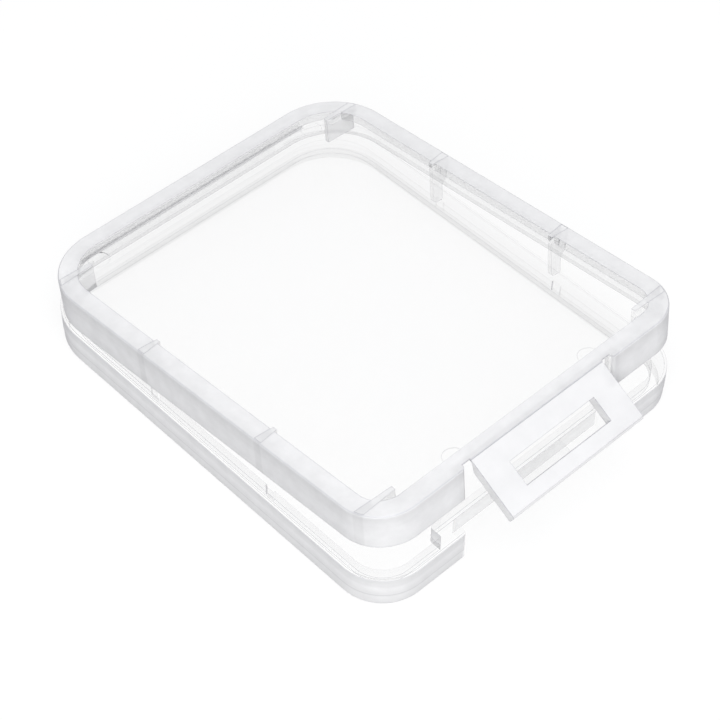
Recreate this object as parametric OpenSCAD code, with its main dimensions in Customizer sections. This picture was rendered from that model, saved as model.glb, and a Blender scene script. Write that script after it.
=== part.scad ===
// Clear hinged case for one memory card. A shallow base tray and a lid share a living hinge at
// the back, and a slotted flap on the lid's front edge folds down over a catch on the base.
// X runs along the hinge, the latch faces -Y, and the origin is under the middle of the case.
// The case is drawn ajar, with the flap part of the way down.

/* [Overall] */
// Width of the lid along the hinge line
lid_w = 44.5; // [40:0.5:60]
// Length of the lid from the latch side to the hinge side
lid_l = 54.5; // [48:0.5:72]
// Corner radius at the latch side
latch_corner_r = 5; // [4:0.1:8]
// Corner radius at the hinge side
hinge_corner_r = 7.4; // [5.5:0.1:10]
// How far the lid stands open, in degrees from closed
open_angle = 5.23; // [0:0.01:170]
// How far the flap is folded down from the lid's top plane, in degrees
flap_angle = 35.2; // [0:0.1:90]

/* [Base] */
// Height of the shelf that the closed lid rests on
shelf_z = 3.7; // [3:0.1:6]
// Width of the shelf, measured inward from the lid's outline
shelf_w = 1.25; // [1.1:0.05:2]
// Height of the outer lip above the shelf
lip_h = 0.26; // [0.15:0.01:0.5]
// Thickness of the outer lip
lip_t = 0.3; // [0.25:0.01:0.6]
// Height of the underside of the floor
floor_z = 1.55; // [1:0.05:2]
// Thickness of the clear floor
floor_t = 0.7; // [0.5:0.05:1]
// Thickness of the foot wall below the floor
foot_t = 0.65; // [0.5:0.05:1]
// Step in the outer face at the level of the floor
waist_step = 0.06; // [0.02:0.01:0.15]
// Depth of each pocket that takes a finger, measured into the shelf
pocket_d = 0.2; // [0.15:0.01:0.4]

/* [Lid] */
// Height of the lid from its lower edge to its top
lid_h = 4.36; // [3.6:0.02:7]
// Width of the frosted band round the lid's top
band_w = 2.14; // [1.8:0.02:3]
// Thickness of the band
band_t = 1; // [0.8:0.05:1.4]
// Thickness of the lid's outer wall above the rebate
wall_t = 0.62; // [0.5:0.01:0.8]
// Thickness of the lid's outer wall below the rebate
skirt_t = 0.5; // [0.4:0.01:0.6]
// Depth of the rebate below the lid's top
rebate_z = 3.05; // [2.6:0.05:4]
// Depth of the clear panel's face below the band at the hinge end
panel_step = 0.22; // [0.1:0.01:0.4]
// Radius on the lid's outer top edge
top_edge_r = 0.22; // [0.1:0.01:0.4]

/* [Ribs] */
// Distance of the rear pair of fingers behind the middle
rear_finger_y = 8.35; // [6:0.05:12]
// Distance of the front pair of fingers before the middle
front_finger_y = 9.9; // [7:0.05:13]
// Thickness of each rib where it meets the wall
rib_root_t = 0.95; // [0.7:0.05:1.2]
// Thickness of each rib at its inner end
rib_tip_t = 0.5; // [0.4:0.05:0.8]
// Thickness of the tongue that drops inside the shelf, from its back to its rounded face
tongue_t = 1.35; // [1.1:0.05:2.2]
// Gap between a finger's tip and the floor when the case is shut
finger_gap = 0.07; // [0.05:0.01:0.6]
// Distance of the hinge corner ribs from the lid's rear edge
hinge_rib_back = 4.25; // [3.5:0.05:5]
// Distance of the latch corner ribs from the lid's front edge
latch_rib_front = 3.2; // [2.6:0.05:4]
// Inward reach of the corner ribs from the side of the lid
corner_rib_reach = 5.1; // [4.2:0.05:6]
// Depth of the corner ribs below the lid's top
corner_rib_depth = 3.2; // [2:0.05:3.6]

/* [Latch] */
// Width of the latch recess in the base and the lid
recess_w = 21; // [18:0.5:28]
// Depth of the recess in the base behind the lid's front face
recess_d = 1.85; // [1.6:0.05:2.4]
// Gap between the flap and each side of the recess
flap_side_gap = 1.1; // [0.3:0.05:2]
// Height of the latched flap's tip above the table
flap_foot = 0.77; // [0.3:0.01:1.3]
// Thickness of the flap
flap_t = 1.1; // [0.8:0.05:1.2]
// Width of the flap's frame at each end of the slot
slot_side = 3.35; // [2:0.05:4.5]
// Length of the slot, measured along the flap from root to tip
slot_l = 2.87; // [2:0.01:3.4]
// Drop from the shelf to the underside of the catch, where the slot's edge hooks
catch_drop = 1.04; // [0.9:0.01:1.4]
// Width left free between the catch and each end of the slot
catch_side_gap = 0.9; // [0.3:0.05:1.5]
// Distance of the fold line behind the lid's front face
fold_back = 0.6; // [0.4:0.05:1]

/* [Hinge] */
// Width of the living hinge
hinge_w = 26; // [16:0.5:36]
// Distance of the fold line behind the lid's rear face
hinge_out = 1; // [0.8:0.05:1.5]
// Radius of the thin fold itself
fold_r = 0.14; // [0.1:0.01:0.2]

/* [Hidden] */
$fn = 96;

fit_gap = 0.05;
fold_gap = 0.02;
reach_past = 1;
lip_out = fit_gap + lip_t;
lip_z = shelf_z + lip_h;
floor_top = floor_z + floor_t;
lid_top = shelf_z + lid_h;
edge_round = 0.3;
lip_round = 0.08;
skirt_bevel = 0.06;

hinge_y = lid_l / 2 + hinge_out;
hinge_z = lid_top / 2;
leaf_t = 0.5;
leaf_end_t = 0.35;
leaf_gap = 0.06;
leaf_rise = 0.2;
leaf_run = 0.25;
lip_gap_side = 1.2;
lip_gap_w = hinge_w + 2 * lip_gap_side;

recess_y = -(lid_l / 2 - recess_d);
strip_t = 1.1;
strip_side = 2.3;
strip_w = recess_w + 2 * strip_side;
recess_round = 0.8;

flap_fold_y = -(lid_l / 2 - fold_back);
film_t = 0.26;
film_r = film_t / 2;
flap_fold_z = lid_top - film_r;
film_len = 0.45;
flap_w = recess_w - 2 * flap_side_gap;
flap_len = flap_fold_z - flap_foot;
flap_below = flap_t - film_r;
flap_edge = 0.1;
tip_chamfer = 0.25;

catch_under = shelf_z - catch_drop;
slot_w = flap_w - 2 * slot_side;
slot_end = flap_fold_z + fit_gap - catch_under;
slot_start = slot_end - slot_l;
catch_w = slot_w - 2 * catch_side_gap;
catch_reach = 0.17;
catch_nose = flap_fold_y - film_r - catch_reach;
catch_nose_h = 0.3;
catch_root_h = 0.85;
catch_ramp = 0.3;
catch_rise = 0.1;
catch_lean = 0.05;

// The flap's tip is the case's front, and the fold of the hinge is its back.
flap_tip_y = hinge_y + (flap_fold_y - hinge_y) * cos(open_angle)
    + (flap_fold_z - hinge_z) * sin(open_angle) - flap_len * cos(flap_angle - open_angle)
    - (film_r - tip_chamfer) * sin(flap_angle - open_angle);
case_mid_y = (flap_tip_y + hinge_y + fold_r) / 2;

rib_root = 0.2;
pocket_gap = 0.12;
tongue_gap = 0.1;
tongue_in = shelf_w - pocket_d + tongue_gap;
tongue_z = floor_top + finger_gap;
finger_reach = tongue_in + tongue_t;
finger_shoulder = 0.12;
return_d = 1.1;
return_round = 0.5;
mark_r = 1.2;
mark_d = 0.12;
mark_side = 6.65;
mark_back = 3.4;
mark_beside = 0.8;
mark_front = 2.55;

case_tint = [0.9, 0.9, 0.92];
clear_tint = [0.97, 0.97, 0.98];

// Points along an arc of radius r about [cx, cy], from angle a to angle b.
function arc(cx, cy, r, a, b, steps = 8) =
    [for (i = [0 : steps]) let (t = a + (b - a) * i / steps) [cx + r * cos(t), cy + r * sin(t)]];

// The lid's outline in plan, moved inward by inset.
module outline(inset) {
    w = lid_w - 2 * inset;
    l = lid_l - 2 * inset;
    rf = latch_corner_r - inset;
    rb = hinge_corner_r - inset;
    for (side = [-1, 1]) {
        translate([side * (w / 2 - rf), -(l / 2 - rf)]) circle(rf);
        translate([side * (w / 2 - rb), l / 2 - rb]) circle(rb);
    }
    polygon([
        [-(w / 2 - rf), -l / 2], [w / 2 - rf, -l / 2],
        [w / 2, -(l / 2 - rf)], [w / 2, l / 2 - rb],
        [w / 2 - rb, l / 2], [-(w / 2 - rb), l / 2],
        [-w / 2, l / 2 - rb], [-w / 2, -(l / 2 - rf)]
    ]);
}

// Carries a section round the lid's outline. In the section x is the distance inward from the
// outline and y is the height, so the four walls and corners share one profile.
module ring() {
    w = lid_w / 2;
    l = lid_l / 2;
    rf = latch_corner_r;
    rb = hinge_corner_r;
    for (side = [0, 1]) mirror([side, 0, 0]) {
        translate([-w, l - rb, 0]) rotate([90, 0, 0]) linear_extrude(lid_l - rf - rb) children();
        translate([-(w - rf), -(l - rf), 0]) rotate([0, 0, 180])
            rotate_extrude(angle = 90) translate([rf, 0]) mirror([1, 0]) children();
        translate([-(w - rb), l - rb, 0]) rotate([0, 0, 90])
            rotate_extrude(angle = 90) translate([rb, 0]) mirror([1, 0]) children();
    }
    translate([-(w - rf), -l, 0]) rotate([90, 0, 90]) linear_extrude(lid_w - 2 * rf) children();
    mirror([0, 1, 0]) translate([-(w - rb), -l, 0]) rotate([90, 0, 90])
        linear_extrude(lid_w - 2 * rb) children();
}

// Extrudes a section drawn in Y and Z along X, centred on X.
module along_x(width) {
    translate([-width / 2, 0, 0]) rotate([90, 0, 90]) linear_extrude(width) children();
}

// Places a child at the left and at the right.
module both_sides() {
    for (side = [0, 1]) mirror([side, 0, 0]) children();
}

// What a rounded upright edge takes off a square corner at [0, 0] whose body lies at -X and +Y.
module edge_cut(r, height) {
    difference() {
        translate([-r, -reach_past, 0]) cube([r + reach_past, r + reach_past, height]);
        translate([-r, r, -reach_past]) cylinder(h = height + 2 * reach_past, r = r);
    }
}

// Moves a part drawn about the middle of the base to the middle of the whole case.
module case_pose() {
    translate([0, -case_mid_y, 0]) children();
}

// Turns a part of the lid from closed to ajar about the living hinge.
module lid_pose() {
    case_pose() translate([0, hinge_y, hinge_z]) rotate([-open_angle, 0, 0])
        translate([0, -hinge_y, -hinge_z]) children();
}

// Base: the walls, the shelf and the lip
module base_section() {
    out = -lip_out;
    low = out + waist_step;
    polygon(concat(
        [[out + foot_t, 0], [out + foot_t, floor_z], [shelf_w, floor_z], [shelf_w, shelf_z]],
        [[-fit_gap, shelf_z], [-fit_gap, lip_z - lip_round / 2], [-fit_gap - lip_round / 2, lip_z]],
        arc(out + lip_round, lip_z - lip_round, lip_round, 90, 180, 4),
        [[out, floor_z], [low, floor_z - waist_step]],
        arc(low + edge_round, edge_round, edge_round, 180, 270)
    ));
}

module finger_pocket(y) {
    width = rib_root_t + 2 * pocket_gap;
    translate([-(lid_w / 2 - shelf_w) - pocket_d, y - width / 2, floor_top])
        cube([pocket_d + reach_past, width, shelf_z]);
}

module base_frame() {
    color(case_tint) case_pose() {
        difference() {
            ring() base_section();
            translate([-recess_w / 2, -lid_l, -reach_past])
                cube([recess_w, lid_l + recess_y, lid_top]);
            both_sides() translate([-recess_w / 2, -(lid_l / 2 + lip_out), -reach_past])
                edge_cut(recess_round, lid_top);
            translate([-lip_gap_w / 2, lid_l / 2 - fit_gap, shelf_z])
                cube([lip_gap_w, lid_l, lip_h + reach_past]);
            both_sides() for (y = [rear_finger_y, -front_finger_y]) finger_pocket(y);
        }
        recess_wall();
    }
}

// The wall behind the latch recess, and the two short returns that join it to the front wall.
module recess_wall() {
    height = shelf_z - floor_z;
    end_r = strip_t / 2;
    translate([0, 0, floor_z]) {
        translate([-strip_w / 2 + end_r, recess_y, 0]) cube([strip_w - 2 * end_r, strip_t, height]);
        both_sides() {
            translate([-strip_w / 2 + end_r, recess_y + end_r, 0]) cylinder(h = height, r = end_r);
            translate([-strip_w / 2, -(lid_l / 2 - shelf_w), 0])
                cube([(strip_w - recess_w) / 2, recess_d - shelf_w + end_r, height]);
        }
    }
}

module base_floor() {
    color(clear_tint) case_pose() difference() {
        translate([0, 0, floor_z]) linear_extrude(floor_t) outline(shelf_w);
        translate([-strip_w / 2 + strip_t / 2, -lid_l, 0])
            cube([strip_w - strip_t, lid_l + recess_y + strip_t, lid_top]);
        both_sides() {
            translate([-strip_w / 2, -lid_l, 0])
                cube([strip_t, lid_l + recess_y + strip_t / 2, lid_top]);
            translate([-strip_w / 2 + strip_t / 2, recess_y + strip_t / 2, 0])
                cylinder(h = lid_top, r = strip_t / 2);
        }
    }
}

// The catch stands out of the recess wall and reaches through the flap's slot.
module catch_lug() {
    color(case_tint) case_pose() along_x(catch_w) polygon([
        [recess_y, catch_under], [recess_y, catch_under + catch_root_h],
        [catch_nose + catch_ramp, catch_under + catch_nose_h + catch_rise],
        [catch_nose, catch_under + catch_nose_h - catch_rise], [catch_nose + catch_lean, catch_under]
    ]);
}

module base_hinge_leaf() {
    outer_y = lid_l / 2 + lip_out;
    color(case_tint) case_pose() along_x(hinge_w) polygon(concat(
        [[hinge_y, hinge_z - leaf_end_t], [outer_y, shelf_z - leaf_t], [outer_y, shelf_z]],
        arc(hinge_y, hinge_z, fold_r, 170, -90)
    ));
}

// Lid: the band, the walls and the skirt
module lid_section() {
    polygon(concat(
        [[skirt_bevel, shelf_z], [skirt_t, shelf_z], [skirt_t, lid_top - rebate_z]],
        [[wall_t, lid_top - rebate_z + (wall_t - skirt_t)], [wall_t, lid_top - band_t]],
        [[band_w, lid_top - band_t], [band_w, lid_top]],
        arc(top_edge_r, lid_top - top_edge_r, top_edge_r, 90, 180, 6),
        [[0, shelf_z + skirt_bevel]]
    ));
}

module lid_frame() {
    color(case_tint) lid_pose() {
        difference() {
            ring() lid_section();
            lid_recess_cut();
            lid_ribs();
            eject_marks();
        }
        difference() {
            wall_returns();
            lid_ribs();
        }
        along_x(flap_w) translate([flap_fold_y, flap_fold_z]) circle(film_r);
    }
}

// The lid's front wall stops at the recess. There the band's edge lies on the fold line and
// is bevelled below, so that the flap can fold through a right angle.
module lid_recess_cut() {
    front = -lid_l / 2;
    film_room = film_r + 2 * fold_gap;
    along_x(recess_w) polygon([
        [front - reach_past, shelf_z - reach_past], [front - reach_past, lid_top + reach_past],
        [flap_fold_y, lid_top + reach_past], [flap_fold_y, flap_fold_z],
        [flap_fold_y + film_room, flap_fold_z],
        [flap_fold_y + film_room + band_t - film_r, lid_top - band_t],
        [flap_fold_y + film_room + band_t, shelf_z - reach_past]
    ]);
    both_sides() translate([-recess_w / 2, front, shelf_z - reach_past])
        edge_cut(return_round, lid_h + 2 * reach_past);
}

// Short returns behind each end of the front wall stiffen it beside the flap.
module wall_returns() {
    both_sides() translate([-recess_w / 2 - wall_t, -lid_l / 2 + skirt_t, shelf_z])
        cube([wall_t, return_d - skirt_t, lid_h - band_t]);
}

// The panel's face slopes gently, from a sharp step at the hinge end to level with the band at
// the latch end.
module lid_panel() {
    slope = atan(panel_step / (lid_l - 2 * band_w));
    color(clear_tint) lid_pose() difference() {
        translate([0, 0, lid_top - band_t]) linear_extrude(band_t) outline(band_w);
        translate([0, -(lid_l / 2 - band_w), lid_top]) rotate([-slope, 0, 0])
            translate([-lid_w, -reach_past, 0]) cube([lid_w * 2, lid_l, reach_past]);
        lid_ribs();
        eject_marks();
    }
}

// Shallow round marks that the ejector pins leave in the underside of the lid's top.
module eject_marks() {
    spots = [
        [lid_w / 2 - mark_side, lid_l / 2 - mark_back],
        [recess_w / 2 - mark_beside, -(lid_l / 2 - mark_front)]
    ];
    both_sides() for (spot = spots) {
        translate([spot[0], spot[1], lid_top - band_t - reach_past])
            cylinder(h = reach_past + mark_d, r = mark_r);
    }
}

// The lid's leaf lies on the base's leaf when the case is shut, and wraps the thin fold. It meets
// the lid's wall above the shelf, however high the fold lies.
module lid_hinge_leaf() {
    wall_z = max(hinge_z, shelf_z);
    color(case_tint) lid_pose() along_x(hinge_w) difference() {
        polygon([
            [lid_l / 2 + lip_out, wall_z + leaf_gap], [lid_l / 2, wall_z + leaf_gap],
            [lid_l / 2, wall_z + leaf_t + leaf_rise], [lid_l / 2 + leaf_run, wall_z + leaf_t],
            [hinge_y, hinge_z + leaf_end_t], [hinge_y, hinge_z + leaf_gap]
        ]);
        translate([hinge_y, hinge_z]) circle(fold_r + fold_gap);
    }
}

// Ribs: plan shapes taper from root to tip
module rib_plan(root_x, tip_x, y) {
    polygon([
        [root_x, y - rib_root_t / 2], [root_x, y + rib_root_t / 2],
        [tip_x, y + rib_tip_t / 2], [tip_x, y - rib_tip_t / 2]
    ]);
}

// A finger at the left wall. Below the rebate it steps inward, so that its tongue passes inside
// the shelf and drops into a pocket when the lid closes.
module finger(y) {
    edge = -lid_w / 2;
    step = tongue_in - skirt_t;
    shoulder_z = lid_top - rebate_z + finger_shoulder;
    tip_round = 0.55;
    tip_cut = 0.15;
    tip_rise = 0.2;
    tip = edge + finger_reach;
    intersection() {
        translate([0, 0, tongue_z - reach_past]) linear_extrude(lid_top - tongue_z + 2 * reach_past)
            rib_plan(edge + rib_root, tip, y);
        translate([0, y + rib_root_t, 0]) rotate([90, 0, 0]) linear_extrude(2 * rib_root_t)
            polygon(concat(
                [[edge + wall_t, shoulder_z], [edge + rib_root, lid_top - band_t]],
                [[edge + rib_root, lid_top], [tip, lid_top]],
                arc(tip - tip_round, tongue_z + tip_round, tip_round, 0, -90, 6),
                [[edge + tongue_in + tip_cut, tongue_z], [edge + tongue_in, tongue_z + tip_rise]],
                [[edge + tongue_in, shoulder_z - step]]
            ));
    }
}

// A corner rib runs along X from the curved wall to its inner end.
module corner_rib(y) {
    tip = -lid_w / 2 + corner_rib_reach;
    low = lid_top - corner_rib_depth;
    intersection() {
        linear_extrude(lid_top + reach_past) rib_plan(-lid_w / 2, tip, y);
        translate([0, 0, low]) linear_extrude(corner_rib_depth) outline(rib_root);
        union() {
            translate([-lid_w, -lid_l, lid_top - band_t]) cube([lid_w * 2, lid_l * 2, band_t]);
            linear_extrude(lid_top) outline(wall_t);
        }
    }
}

module lid_ribs() {
    both_sides() {
        finger(rear_finger_y);
        finger(-front_finger_y);
        corner_rib(lid_l / 2 - hinge_rib_back);
        corner_rib(-(lid_l / 2 - latch_rib_front));
    }
}

module left(shown) {
    color(case_tint) lid_pose() mirror([shown ? 0 : 1, 0, 0]) children();
}

module finger_left_rear() { left(true) finger(rear_finger_y); }
module finger_left_front() { left(true) finger(-front_finger_y); }
module finger_right_rear() { left(false) finger(rear_finger_y); }
module finger_right_front() { left(false) finger(-front_finger_y); }
module hinge_rib_left() { left(true) corner_rib(lid_l / 2 - hinge_rib_back); }
module hinge_rib_right() { left(false) corner_rib(lid_l / 2 - hinge_rib_back); }
module latch_rib_left() { left(true) corner_rib(-(lid_l / 2 - latch_rib_front)); }
module latch_rib_right() { left(false) corner_rib(-(lid_l / 2 - latch_rib_front)); }

// Latch flap: drawn level with the lid's top, then folded down about its film
module flap_section() {
    difference() {
        polygon([
            [0, -film_r], [0, film_r],
            [-flap_len + tip_chamfer, film_r], [-flap_len, film_r - tip_chamfer],
            [-flap_len, -flap_below + flap_edge], [-flap_len + flap_edge, -flap_below],
            [-film_len - flap_below + film_r, -flap_below], [-film_len, -film_r]
        ]);
        circle(film_r + fold_gap);
    }
}

module latch_flap() {
    color(case_tint) lid_pose() translate([0, flap_fold_y, flap_fold_z]) rotate([flap_angle, 0, 0])
        difference() {
            along_x(flap_w) flap_section();
            translate([-slot_w / 2, -slot_end, -flap_t]) cube([slot_w, slot_end - slot_start, 2 * flap_t]);
        }
}

base_frame();
base_floor();
catch_lug();
base_hinge_leaf();
lid_frame();
lid_panel();
lid_hinge_leaf();
latch_flap();
finger_left_rear();
finger_left_front();
finger_right_rear();
finger_right_front();
hinge_rib_left();
hinge_rib_right();
latch_rib_left();
latch_rib_right();
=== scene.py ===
# %% [markdown]
# A small hinged case for one memory card, moulded in one piece from natural polypropylene. The
# plastic is milky where the mould was left matt and clear where it was polished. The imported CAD
# model gives every shape. This script adds the camera, the light and the look of the plastic.

import math

import bpy
from mathutils import Matrix, Vector

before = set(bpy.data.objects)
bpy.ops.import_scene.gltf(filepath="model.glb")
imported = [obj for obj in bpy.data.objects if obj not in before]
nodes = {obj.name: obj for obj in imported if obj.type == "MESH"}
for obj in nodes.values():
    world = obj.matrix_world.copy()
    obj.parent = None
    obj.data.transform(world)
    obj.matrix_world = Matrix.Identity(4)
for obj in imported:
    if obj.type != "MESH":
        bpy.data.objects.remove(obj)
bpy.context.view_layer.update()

# %% [markdown]
# The camera comes first, because everything after it is judged through it. Its direction is two
# angles round the case, as on a tripod: how far round to the left it stands, and how high. The
# target is the point that the middle of the picture looks at. A long lens far away keeps the
# sides nearly parallel, as product photographs do.

# %% Camera
MM = 0.001
azimuth = math.radians(-43.646)
elevation = math.radians(47.903)
tilt = math.radians(0.498)
distance = 229.18 * MM
lens_mm = 104.955
sensor_mm = 36.0
nearest_m = 0.01
farthest_m = 10.0
shift_right = 0.502 * MM
shift_up = -0.636 * MM
base_middle_y = 1.9093 * MM

back = Vector((
    math.sin(azimuth) * math.cos(elevation),
    -math.cos(azimuth) * math.cos(elevation),
    math.sin(elevation),
))
level_right = Vector((math.cos(azimuth), math.sin(azimuth), 0.0))
level_up = back.cross(level_right)
right = math.cos(tilt) * level_right + math.sin(tilt) * level_up
up = -math.sin(tilt) * level_right + math.cos(tilt) * level_up
target = Vector((0.0, base_middle_y, 0.0)) + shift_right * level_right + shift_up * level_up

camera_data = bpy.data.cameras.new("camera")
camera_data.lens = lens_mm
camera_data.sensor_width = sensor_mm
camera_data.clip_start = nearest_m
camera_data.clip_end = farthest_m
camera = bpy.data.objects.new("camera", camera_data)
turn = Matrix((right, up, back)).transposed().to_4x4()
camera.matrix_world = Matrix.Translation(target + distance * back) @ turn
bpy.context.scene.collection.objects.link(camera)
bpy.context.scene.camera = camera
print("camera at", [round(v, 4) for v in camera.location])

# %% [markdown]
# Milky plastic on white is seen by what it takes away from the white behind it. So the picture
# needs an even white ground and quiet light. The world lights the case as a soft dome, and looks
# plain white to the camera, directly or by way of a mirror or glass.

# %% World
WHITE = (1.0, 1.0, 1.0, 1.0)
DOME_COLOUR = (0.97, 0.98, 1.0, 1.0)
DOME_STRENGTH = 0.55
WHITE_STRENGTH = 1.0
scene = bpy.context.scene
scene.view_settings.view_transform = "Standard"


def looked_at(tree):
    """1 for rays that come from the camera, or by way of a mirror or glass, and 0 for light."""
    path = tree.nodes.new("ShaderNodeLightPath")
    total = path.outputs["Is Camera Ray"]
    for label in ("Is Glossy Ray", "Is Transmission Ray"):
        larger = tree.nodes.new("ShaderNodeMath")
        larger.operation = "MAXIMUM"
        tree.links.new(total, larger.inputs[0])
        tree.links.new(path.outputs[label], larger.inputs[1])
        total = larger.outputs[0]
    return total


world = bpy.data.worlds.new("soft dome")
scene.world = world
world.use_nodes = True
tree = world.node_tree
tree.nodes.clear()
dome = tree.nodes.new("ShaderNodeBackground")
dome.inputs["Color"].default_value = DOME_COLOUR
dome.inputs["Strength"].default_value = DOME_STRENGTH
white = tree.nodes.new("ShaderNodeBackground")
white.inputs["Color"].default_value = WHITE
white.inputs["Strength"].default_value = WHITE_STRENGTH
seen = tree.nodes.new("ShaderNodeMixShader")
out = tree.nodes.new("ShaderNodeOutputWorld")
tree.links.new(looked_at(tree), seen.inputs["Fac"])
tree.links.new(dome.outputs[0], seen.inputs[1])
tree.links.new(white.outputs[0], seen.inputs[2])
tree.links.new(seen.outputs[0], out.inputs["Surface"])
print("dome strength", DOME_STRENGTH)

# %% [markdown]
# The table is grey to the light, so that little of it bounces back up into the case. It adds a
# white of its own that only the camera, mirrors and glass see. Together they reach white, and
# the grey part still keeps the soft shadow under the case.

# %% Table
TABLE_GREY = (0.20, 0.20, 0.20, 1.0)
TABLE_LIFT = 0.815
table_size = 3.0
bpy.ops.mesh.primitive_plane_add(size=table_size, location=(0, 0, 0))
table = bpy.context.active_object
table.name = "table"
paper = bpy.data.materials.new("white paper")
paper.use_nodes = True
tree = paper.node_tree
tree.nodes.clear()
matt = tree.nodes.new("ShaderNodeBsdfDiffuse")
matt.inputs["Color"].default_value = TABLE_GREY
lift = tree.nodes.new("ShaderNodeEmission")
lift.inputs["Color"].default_value = WHITE
amount = tree.nodes.new("ShaderNodeMath")
amount.operation = "MULTIPLY"
amount.inputs[1].default_value = TABLE_LIFT
both = tree.nodes.new("ShaderNodeAddShader")
out = tree.nodes.new("ShaderNodeOutputMaterial")
tree.links.new(looked_at(tree), amount.inputs[0])
tree.links.new(amount.outputs[0], lift.inputs["Strength"])
tree.links.new(matt.outputs[0], both.inputs[0])
tree.links.new(lift.outputs[0], both.inputs[1])
tree.links.new(both.outputs[0], out.inputs["Surface"])
table.data.materials.append(paper)
print("table is", table_size, "m wide")

# %% [markdown]
# Two large soft lamps shape the case. One hangs overhead, a little to the camera's side. The
# other stands low at the front left and fills the walls that the camera sees.

# %% Lamps
# Each row has a name, a place in metres, a width in metres and a power in watts
LAMPS = (
    ("overhead", (-0.12, -0.15, 0.42), 0.40, 1.08),
    ("front left", (-0.35, -0.40, 0.20), 0.35, 1.10),
)
for name, place, size, power in LAMPS:
    lamp_data = bpy.data.lights.new(name, "AREA")
    lamp_data.shape = "SQUARE"
    lamp_data.size = size
    lamp_data.energy = power
    lamp = bpy.data.objects.new(name, lamp_data)
    lamp.location = place
    lamp.rotation_euler = (-Vector(place)).to_track_quat("-Z", "Y").to_euler()
    scene.collection.objects.link(lamp)

# %% [markdown]
# The materials below are built from the same few steps: a sum, a change of range, a product of
# masks and a strip between two limits. Each gets a small function here, so that the recipes
# later read as recipes.

# %% Small tools for node trees
def new_group(name, inputs, outputs):
    """An empty node group with named number inputs and named outputs."""
    group = bpy.data.node_groups.new(name, "ShaderNodeTree")
    for label, value in inputs:
        socket = group.interface.new_socket(label, in_out="INPUT", socket_type="NodeSocketFloat")
        socket.default_value = value
    for label in outputs:
        kind = "NodeSocketVector" if label == "Normal" else "NodeSocketFloat"
        group.interface.new_socket(label, in_out="OUTPUT", socket_type=kind)
    return group


def calculate(tree, operation, first, second=0.0, clamp=False):
    """One math node. Its inputs may be numbers or other nodes' outputs."""
    node = tree.nodes.new("ShaderNodeMath")
    node.operation = operation
    node.use_clamp = clamp
    for socket, value in zip(node.inputs, (first, second)):
        if isinstance(value, (int, float)):
            socket.default_value = value
        else:
            tree.links.new(value, socket)
    return node.outputs[0]


def product(tree, first, *others):
    """All the values multiplied together."""
    for other in others:
        first = calculate(tree, "MULTIPLY", first, other)
    return first


def remap(tree, value, low, high, to_low=0.0, to_high=1.0, smooth=True):
    """The value's range from low to high, stretched to another range. Low may be the larger."""
    node = tree.nodes.new("ShaderNodeMapRange")
    node.interpolation_type = "SMOOTHSTEP" if smooth else "LINEAR"
    tree.links.new(value, node.inputs["Value"])
    for label, number in (("From Min", low), ("From Max", high), ("To Min", to_low), ("To Max", to_high)):
        node.inputs[label].default_value = number
    return node.outputs["Result"]


def strip(tree, value, start, full_from, full_to, end):
    """A mask that rises from start, is 1 between full_from and full_to, and falls off to end."""
    return product(tree, remap(tree, value, start, full_from), remap(tree, value, end, full_to))


def blend(tree, factor, at_zero, at_one):
    """A mix of two numbers, either of which may come from another node."""
    node = tree.nodes.new("ShaderNodeMix")
    tree.links.new(factor, node.inputs["Factor"])
    for label, value in (("A", at_zero), ("B", at_one)):
        if isinstance(value, (int, float)):
            node.inputs[label].default_value = value
        else:
            tree.links.new(value, node.inputs[label])
    return node.outputs["Result"]


print("tools ready")

# %% [markdown]
# Polypropylene scatters light inside its thickness. Cloudy patches a millimetre or two wide and a
# fine matt grain are what the eye takes for milky plastic. The darker edges are partly denser
# plastic and partly painted shade, where light bends away at an edge. One group makes these for
# every finish. The edge mask compares the true normal with one that has been rounded over a small
# radius: they only differ beside an edge.

# %% The group for haze and edges
EDGE_RADIUS = 0.12 * MM
CLOUD_SIZE = 1.6 * MM
GRAIN_DEPTH = 0.02 * MM
EDGE_SAMPLES = 6
# The two normals agree down to the first value, and count as a full edge at the second
EDGE_AGREEMENT = (0.99, 0.80)
CLOUD_DETAIL = 4.0
CLOUD_ROUGHNESS = 0.55
CLOUD_RANGE = (0.32, 0.68)
GRAIN_SCALE = 9000.0
GRAIN_DETAIL = 2.0
GRAIN_STRENGTH = 0.25

haze = new_group(
    "haze and edges",
    (("Edge Radius", EDGE_RADIUS), ("Cloud Size", CLOUD_SIZE), ("Grain Depth", GRAIN_DEPTH)),
    ("Edge", "Cloud", "Normal"),
)
asked = haze.nodes.new("NodeGroupInput")
given = haze.nodes.new("NodeGroupOutput")
surface = haze.nodes.new("ShaderNodeNewGeometry")
place = haze.nodes.new("ShaderNodeTexCoord")
rounded = haze.nodes.new("ShaderNodeBevel")
rounded.samples = EDGE_SAMPLES
haze.links.new(asked.outputs["Edge Radius"], rounded.inputs["Radius"])
facing = haze.nodes.new("ShaderNodeVectorMath")
facing.operation = "DOT_PRODUCT"
haze.links.new(rounded.outputs["Normal"], facing.inputs[0])
haze.links.new(surface.outputs["Normal"], facing.inputs[1])
haze.links.new(remap(haze, facing.outputs["Value"], *EDGE_AGREEMENT), given.inputs["Edge"])

cloud = haze.nodes.new("ShaderNodeTexNoise")
cloud.inputs["Detail"].default_value = CLOUD_DETAIL
cloud.inputs["Roughness"].default_value = CLOUD_ROUGHNESS
haze.links.new(place.outputs["Object"], cloud.inputs["Vector"])
haze.links.new(calculate(haze, "DIVIDE", 1.0, asked.outputs["Cloud Size"]), cloud.inputs["Scale"])
haze.links.new(remap(haze, cloud.outputs["Fac"], *CLOUD_RANGE, smooth=False), given.inputs["Cloud"])

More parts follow.
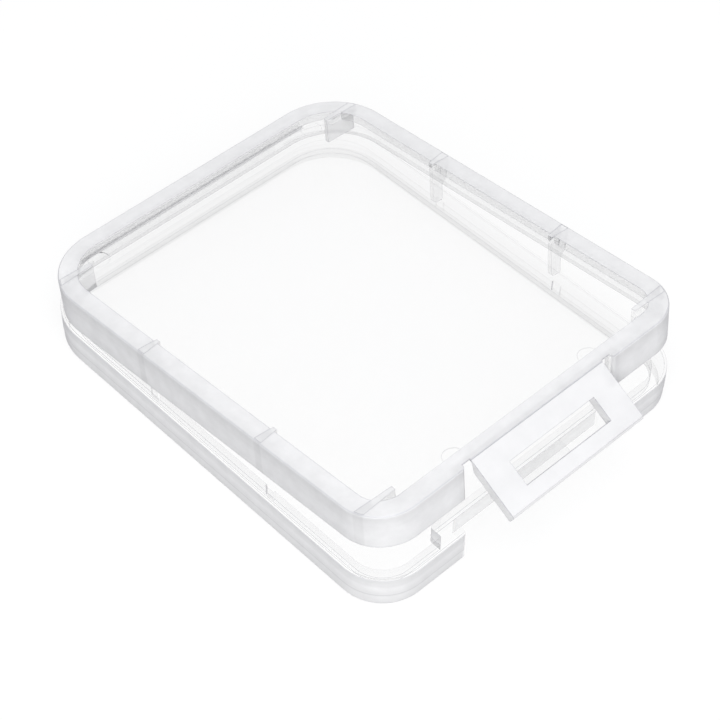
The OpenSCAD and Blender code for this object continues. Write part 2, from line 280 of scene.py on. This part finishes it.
grain = haze.nodes.new("ShaderNodeTexNoise")
grain.inputs["Scale"].default_value = GRAIN_SCALE
grain.inputs["Detail"].default_value = GRAIN_DETAIL
haze.links.new(place.outputs["Object"], grain.inputs["Vector"])
bump = haze.nodes.new("ShaderNodeBump")
bump.inputs["Strength"].default_value = GRAIN_STRENGTH
haze.links.new(grain.outputs["Fac"], bump.inputs["Height"])
haze.links.new(asked.outputs["Grain Depth"], bump.inputs["Distance"])
haze.links.new(bump.outputs["Normal"], given.inputs["Normal"])
print("group", haze.name, [item.name for item in haze.interface.items_tree])

# %% [markdown]
# How milky a wall looks depends on which side of it is seen. The mould's outer faces are matt,
# and scatter most of the light. The faces inside the tray are smooth, and from there the same
# wall is nearly clear. The next group finds the side from the surface itself: it turns the lid
# back to its shut position, and compares the surface's direction with the way out from the
# middle of the case. It also gives the place on the case in millimetres: the height above the
# table, the distance along from the middle towards the hinge, the distance to the right, and
# the distance to either side.

# %% The group for sides and places
HINGE = Vector((0.0, 30.1593, 4.03)) * MM
OPEN_ANGLE = math.radians(5.23)
OUTWARD_REACH = 15 * MM
PLACE_OUTPUTS = ("Up", "Outward", "Height", "Along", "Across", "Side")

skin = new_group("side and height", (("Open Angle", 0.0),), PLACE_OUTPUTS)
asked = skin.nodes.new("NodeGroupInput")
given = skin.nodes.new("NodeGroupOutput")
place = skin.nodes.new("ShaderNodeTexCoord")
shut = skin.nodes.new("ShaderNodeVectorRotate")
shut.rotation_type = "X_AXIS"
shut.inputs["Center"].default_value = HINGE
skin.links.new(place.outputs["Object"], shut.inputs["Vector"])
skin.links.new(asked.outputs["Open Angle"], shut.inputs["Angle"])
lean = skin.nodes.new("ShaderNodeVectorRotate")
lean.rotation_type = "X_AXIS"
skin.links.new(place.outputs["Normal"], lean.inputs["Vector"])
skin.links.new(asked.outputs["Open Angle"], lean.inputs["Angle"])
spot = skin.nodes.new("ShaderNodeSeparateXYZ")
skin.links.new(shut.outputs[0], spot.inputs[0])
tilted = skin.nodes.new("ShaderNodeSeparateXYZ")
skin.links.new(lean.outputs[0], tilted.inputs[0])
from_middle = calculate(skin, "SUBTRACT", spot.outputs["Y"], base_middle_y)
to_side = product(skin, spot.outputs["X"], tilted.outputs["X"])
to_end = product(skin, from_middle, tilted.outputs["Y"])
way_out = product(skin, calculate(skin, "ADD", to_side, to_end), 1 / OUTWARD_REACH)
skin.links.new(way_out, given.inputs["Outward"])
skin.links.new(tilted.outputs["Z"], given.inputs["Up"])
half_way = calculate(skin, "ABSOLUTE", spot.outputs["X"])
for label, length in (
    ("Height", spot.outputs["Z"]),
    ("Along", from_middle),
    ("Side", spot.outputs["X"]),
    ("Across", half_way),
):
    skin.links.new(calculate(skin, "DIVIDE", length, MM), given.inputs[label])
print("group", skin.name, [item.name for item in skin.interface.items_tree])

# %% [markdown]
# Some looks belong to one place on the case, and the functions below find those places, in
# millimetres. A strip of the hinge wall is one of them. More than eight clear layers stand behind
# each other there, and the renderer gives up after eight, which leaves a dark line. The wall is
# milkier in that strip. This is a cautionary example: the strip lightens the line only a little,
# and makes the wall beside it darker than it should be.

# %% Masks for places
# Stripes over the ribs, the rib seen through the wall and its painted shadow: where they start, where they
# are full, and their tone.
RIB_HALF_WIDTH = (0.62, 0.38)
RIB_AND_SHADOW_TONE = 0.93
THICK_FADE_ACROSS = 0.4
THICK_FADE_ALONG = 0.2
# The near left and latch parts of the lid's band, whose tops get painted light.
LEFT_BAND = (-22.0, -20.2, -20.0, -17.0)
LATCH_BAND = (-27.2, -25.2, -24.0, -20.0)
LATCH_BAND_HALF_WIDTH = (18.5, 13.5)
RECESS_HALF_WIDTH = (11.3, 10.9)
RECESS_REAR = (-23.0, -23.4)
HINGE_WALL = (26.0, 26.6)
HINGE_HALF_WIDTH = (17.0, 16.0)
HINGE_STRIP_HEIGHT = (5.18, 5.28, 5.78, 5.88)
SIDE_CHANGE = 0.15


def rib_and_shadow_stripe(tree, sides, y):
    """A darker stripe where a rib stands behind the surface: the rib seen through it, and its painted
    shadow.
    """
    off = calculate(tree, "ABSOLUTE", calculate(tree, "SUBTRACT", sides["Along"], y))
    return remap(tree, off, *RIB_HALF_WIDTH, 1.0, RIB_AND_SHADOW_TONE)


def thick_place(tree, sides, half_width, front, rear):
    """Where the plastic is thicker beside the latch."""
    return product(
        tree,
        remap(tree, sides["Across"], half_width + THICK_FADE_ACROSS, half_width),
        remap(tree, sides["Along"], rear, rear - THICK_FADE_ALONG),
        remap(tree, sides["Along"], front - THICK_FADE_ALONG, front),
    )


def latch_band(tree, sides):
    """The part of the lid's band that lies along the latch."""
    return product(
        tree,
        strip(tree, sides["Along"], *LATCH_BAND),
        remap(tree, sides["Across"], *LATCH_BAND_HALF_WIDTH),
    )


def recess_place(tree, sides):
    """The recess behind the flap."""
    return product(
        tree,
        remap(tree, sides["Across"], *RECESS_HALF_WIDTH),
        remap(tree, sides["Along"], *RECESS_REAR),
    )


def hinge_strip(tree, sides, flat):
    """The strip of the hinge wall's inner face around the dark line."""
    return product(
        tree,
        remap(tree, sides["Along"], *HINGE_WALL),
        remap(tree, sides["Across"], *HINGE_HALF_WIDTH),
        remap(tree, sides["Outward"], SIDE_CHANGE, -SIDE_CHANGE),
        remap(tree, flat, 1.0, 0.0, smooth=False),
        strip(tree, sides["Height"], *HINGE_STRIP_HEIGHT),
    )


print("masks ready")

# %% [markdown]
# Each finish is a Principled shader that lets the table through. First comes its tone. Tones are
# listed by height in millimetres. They are partly thick places behind a wall, such as the band's
# edge or the shelf, that show through it as soft darker stripes, and partly painted shade and
# light: darker near the top and bottom edges and at the shelf, lighter across the middle of the
# walls. Tops get one tone of their own, a painted shade set by the way the face turns.

# %% Tones
CLOUD_LIGHT_SHARE = 0.5


def height_tone_and_shade(tree, sides, flat, tones, top_painted_shade):
    """The tone by height on walls, partly painted shade and light, and one painted tone on tops."""
    low, high = tones[0][0], tones[-1][0]
    ramp = tree.nodes.new("ShaderNodeValToRGB")
    ramp.color_ramp.interpolation = "EASE"
    while len(ramp.color_ramp.elements) < len(tones):
        ramp.color_ramp.elements.new(0.5)
    for stop, (height, tone) in zip(ramp.color_ramp.elements, tones):
        stop.position = (height - low) / (high - low)
        stop.color = (tone, tone, tone, 1.0)
    tree.links.new(remap(tree, sides["Height"], low, high, smooth=False), ramp.inputs["Fac"])
    return blend(tree, flat, ramp.outputs["Color"], top_painted_shade)


def cloud_tone(tree, cloud_mask, depth):
    """Slightly darker and lighter clouds, with the darker ones stronger."""
    light = 1.0 + depth * CLOUD_LIGHT_SHARE
    return remap(tree, cloud_mask, 0.0, 1.0, 1.0 - depth, light, smooth=False)


print("tone functions ready")

# %% [markdown]
# Opacity is one value for tops, one for outer faces and one for inner faces. There is more of it
# at edges and at a slant, where the light's path through the plastic is longer. Dense places
# also turn from the body colour towards a darker colour. That darkening is partly density and partly
# painted shade: dark lines at edges, at a slant and along the rounded top edge. The back of a face,
# seen from inside the plastic, takes only part of the opacity, so that a wall isn't counted twice.

# %% The plastic
BODY = (0.87, 0.868, 0.878)
# The darker colour of denser places, partly painted shade at edges.
DEEP_AND_SHADE = (0.42, 0.42, 0.46)
POLYPROPYLENE_IOR = 1.49
FLAT_FROM_TO = (0.55, 0.9)
SLANT_POWER = 4.0
ROUNDING = (0.40, 0.60, 0.90, 0.97)
ROUNDING_OPACITY = 0.5
LATCH_EDGE_LEFT = 0.15


def plastic(name, top, outer, inner, seen_inside, edge, slant, rim, roughness, radius, tones,
            body=BODY, open_angle=0.0, cloud=0.05, cloud_size=CLOUD_SIZE, grain=GRAIN_DEPTH,
            ribs=(), line=0.0, thick=None, sides_clear=False, painted_band_light=0.0, latch_clear=0.0,
            top_painted_shade=1.0, flat_edge=1.0, hinge_dense=0.0):
    material = bpy.data.materials.new(name)
    material.use_nodes = True
    tree = material.node_tree
    tree.nodes.clear()
    new, link = tree.nodes.new, tree.links.new
    shader = new("ShaderNodeBsdfPrincipled")
    shader.inputs["Roughness"].default_value = roughness
    shader.inputs["IOR"].default_value = POLYPROPYLENE_IOR

    film = new("ShaderNodeGroup")
    film.node_tree = haze
    film.inputs["Edge Radius"].default_value = radius
    film.inputs["Cloud Size"].default_value = cloud_size
    film.inputs["Grain Depth"].default_value = grain
    link(film.outputs["Normal"], shader.inputs["Normal"])
    finder = new("ShaderNodeGroup")
    finder.node_tree = skin
    finder.inputs["Open Angle"].default_value = open_angle
    sides = finder.outputs
    flat = remap(tree, calculate(tree, "ABSOLUTE", sides["Up"]), *FLAT_FROM_TO)

    # Tone
    # Painted shade and light by height on the walls, and a painted tone on the tops.
    tone = height_tone_and_shade(tree, sides, flat, tones, top_painted_shade)
    # Painted shadow: a darker stripe on the wall over each rib behind it, which is also the rib seen
    # through.
    for y in ribs:
        tone = product(tree, tone, rib_and_shadow_stripe(tree, sides, y))
    tone = product(tree, tone, cloud_tone(tree, film.outputs["Cloud"], cloud))
    if thick:
        half_width, front, rear, thick_tone, thick_opacity = thick
        thicker = thick_place(tree, sides, half_width, front, rear)
        tone = product(tree, tone, remap(tree, thicker, 0.0, 1.0, 1.0, thick_tone))
    # Painted light: the band's tops at the near left side and along the latch are made lighter.
    if painted_band_light:
        latch = latch_band(tree, sides)
        left = strip(tree, sides["Side"], *LEFT_BAND)
        painted_light_place = product(tree, calculate(tree, "MAXIMUM", left, latch), flat)
        tone = product(tree, tone, remap(tree, painted_light_place, 0.0, 1.0, 1.0, 1.0 + painted_band_light, smooth=False))

    # How much denser the plastic looks at edges, at a slant and on a rounded top edge, with painted shade
    # for the dark lines there
    weight = new("ShaderNodeLayerWeight")
    steep = calculate(tree, "POWER", weight.outputs["Facing"], SLANT_POWER)
    # Painted shade: a dark band on the rounded top edge, where light reflects inside the corner.
    rounded_edge_shade = product(tree, strip(tree, sides["Up"], *ROUNDING), line)
    sharp = product(tree, film.outputs["Edge"], remap(tree, flat, 0.0, 1.0, 1.0, flat_edge))
    # Along the latch, most of the painted edge shade is left out.
    if painted_band_light:
        sharp = product(tree, sharp, remap(tree, latch, 0.0, 1.0, 1.0, LATCH_EDGE_LEFT))
    dense_and_shaded = calculate(tree, "ADD", sharp, product(tree, steep, rim), clamp=True)
    # Painted shade: edges and slants turn towards a darker colour as well as growing denser.
    colour = new("ShaderNodeMix")
    colour.data_type = "RGBA"
    colour.inputs["A"].default_value = (*body, 1.0)
    colour.inputs["B"].default_value = (*DEEP_AND_SHADE, 1.0)
    link(calculate(tree, "MAXIMUM", dense_and_shaded, rounded_edge_shade), colour.inputs["Factor"])
    toned = new("ShaderNodeVectorMath")
    toned.operation = "SCALE"
    link(colour.outputs["Result"], toned.inputs[0])
    link(tone, toned.inputs["Scale"])
    link(toned.outputs[0], shader.inputs["Base Color"])

    # Opacity
    outwards = remap(tree, sides["Outward"], -SIDE_CHANGE, SIDE_CHANGE)
    total = blend(tree, flat, blend(tree, outwards, inner, outer), top)
    total = calculate(tree, "ADD", total, product(tree, steep, slant))
    if thick:
        total = calculate(tree, "ADD", total, product(tree, thicker, thick_opacity))
    total = calculate(tree, "ADD", total, product(tree, rounded_edge_shade, ROUNDING_OPACITY))
    total = calculate(tree, "ADD", total, product(tree, sharp, edge))
    if latch_clear:
        recess = recess_place(tree, sides)
        kept = remap(tree, recess, 0.0, 1.0, 1.0, 1.0 - latch_clear, smooth=False)
        total = product(tree, total, kept)
    if hinge_dense:
        milky_strip = product(tree, hinge_strip(tree, sides, flat), hinge_dense)
        total = calculate(tree, "MAXIMUM", total, milky_strip)
    if sides_clear:
        total = product(tree, total, flat)
    side = new("ShaderNodeNewGeometry")
    dim = remap(tree, side.outputs["Backfacing"], 0.0, 1.0, 1.0, seen_inside, smooth=False)
    link(calculate(tree, "MULTIPLY", total, dim, clamp=True), shader.inputs["Alpha"])

    end = new("ShaderNodeOutputMaterial")
    link(shader.outputs[0], end.inputs["Surface"])
    print("finish", name, "opacity top, outer, inner:", top, outer, inner)
    return material


# %% [markdown]
# Now the finishes themselves. Lid and base have the same matt outside, with stripes of tone that
# follow their own shelves and edges, partly painted shade. The hinge leaves are nearly clear. Ribs,
# flap and catch have simple finishes of their own, and the floor and the lid's panel are polished.

# %% The finishes
# Five numbers say where a thick place is, its tone and its added opacity:
# half width, front, rear, tone, opacity
# Tones by height: partly thick places seen through the wall, partly painted shade and light.
LID_TONES_AND_SHADE = ((3.7, 0.98), (4.1, 1.12), (5.2, 1.17), (6.0, 1.15), (6.8, 1.09), (7.6, 1.02), (8.06, 1.03))
BASE_TONES_AND_SHADE = ((0.0, 1.02), (1.3, 1.14), (1.54, 0.93), (1.7, 1.12), (2.6, 1.21), (3.1, 1.10), (3.96, 1.02))
LID_RIBS = (8.35, -9.9, 23.0, -24.05)
POLISHED_BODY = (0.95, 0.95, 0.96)
EVEN_TONES = ((0.0, 1.0), (8.06, 1.0))

lid_milky = plastic(
    "milky lid", top=0.80, outer=0.88, inner=0.10, seen_inside=0.32, edge=0.28, slant=0.5,
    rim=0.7, roughness=0.38, radius=0.14 * MM, open_angle=OPEN_ANGLE, tones=LID_TONES_AND_SHADE,
    ribs=LID_RIBS, line=0.45, thick=(11.4, -30.0, -26.0, 0.93, 0.10),
    painted_band_light=0.10, top_painted_shade=0.965, hinge_dense=0.85,
)
base_milky = plastic(
    "milky base", top=0.03, outer=0.82, inner=0.03, seen_inside=0.15, edge=0.26, slant=0.5,
    rim=0.7, roughness=0.38, radius=0.09 * MM, tones=BASE_TONES_AND_SHADE, line=0.35,
    thick=(12.8, -25.7, -24.1, 1.06, 0.05), latch_clear=0.62, flat_edge=0.2,
)
leaf_milky = plastic(
    "milky hinge", top=0.03, outer=0.03, inner=0.03, seen_inside=0.2, edge=0.0, slant=0.0,
    rim=0.0, roughness=0.36, radius=0.08 * MM, open_angle=OPEN_ANGLE,
    tones=((2.3, 1.1), (8.06, 1.1)),
)
rib_milky = plastic(
    "milky ribs", top=0.70, outer=0.22, inner=0.22, seen_inside=0.15, edge=0.24, slant=0.3,
    rim=0.5, roughness=0.38, radius=0.12 * MM, open_angle=OPEN_ANGLE,
    tones=((2.3, 1.12), (8.06, 1.06)),
)
corner_milky = plastic(
    "milky corner ribs", top=0.70, outer=0.55, inner=0.55, seen_inside=0.15, edge=0.24,
    slant=0.3, rim=0.5, roughness=0.38, radius=0.12 * MM, open_angle=OPEN_ANGLE,
    tones=((2.3, 1.16), (8.06, 1.10)),
)
flap_milky = plastic(
    "milky flap", top=0.88, outer=0.70, inner=0.70, seen_inside=0.2, edge=0.40, slant=0.3,
    rim=0.5, roughness=0.36, radius=0.14 * MM, tones=((0.0, 1.0), (14.0, 1.0)),
    cloud=0.03, cloud_size=2.4 * MM, top_painted_shade=0.95,
)
catch_milky = plastic(
    "milky catch", top=0.12, outer=0.12, inner=0.08, seen_inside=0.2, edge=0.20, slant=0.2,
    rim=0.3, roughness=0.36, radius=0.10 * MM, tones=((0.0, 1.1), (8.06, 1.1)),
)
panel_clear = plastic(
    "polished clear", top=0.006, outer=0.0, inner=0.0, seen_inside=0.8, edge=0.45, slant=0.3,
    rim=0.8, roughness=0.12, radius=0.12 * MM, tones=EVEN_TONES, body=POLISHED_BODY,
    cloud=0.02, grain=0.0, sides_clear=True,
)
floor_clear = plastic(
    "polished floor", top=0.006, outer=0.0, inner=0.0, seen_inside=0.8, edge=0.9, slant=0.3,
    rim=0.8, roughness=0.12, radius=0.14 * MM, tones=EVEN_TONES, body=POLISHED_BODY,
    cloud=0.02, grain=0.0, sides_clear=True,
)

# %% [markdown]
# Last, each piece gets its finish by name. Pieces that aren't listed are the four fingers and the
# two ribs at the latch end, which share one.

# %% Put the finishes on
FINISHES = {
    "base_frame": base_milky, "catch_lug": catch_milky, "base_hinge_leaf": leaf_milky,
    "base_floor": floor_clear, "lid_panel": panel_clear, "latch_flap": flap_milky,
    "lid_frame": lid_milky, "lid_hinge_leaf": leaf_milky,
    "hinge_rib_left": corner_milky, "hinge_rib_right": corner_milky,
}
for name, piece in nodes.items():
    for slot in piece.material_slots:
        slot.material = FINISHES.get(name, rib_milky)
print("nodes with a finish of their own", len(FINISHES), "of", len(nodes))
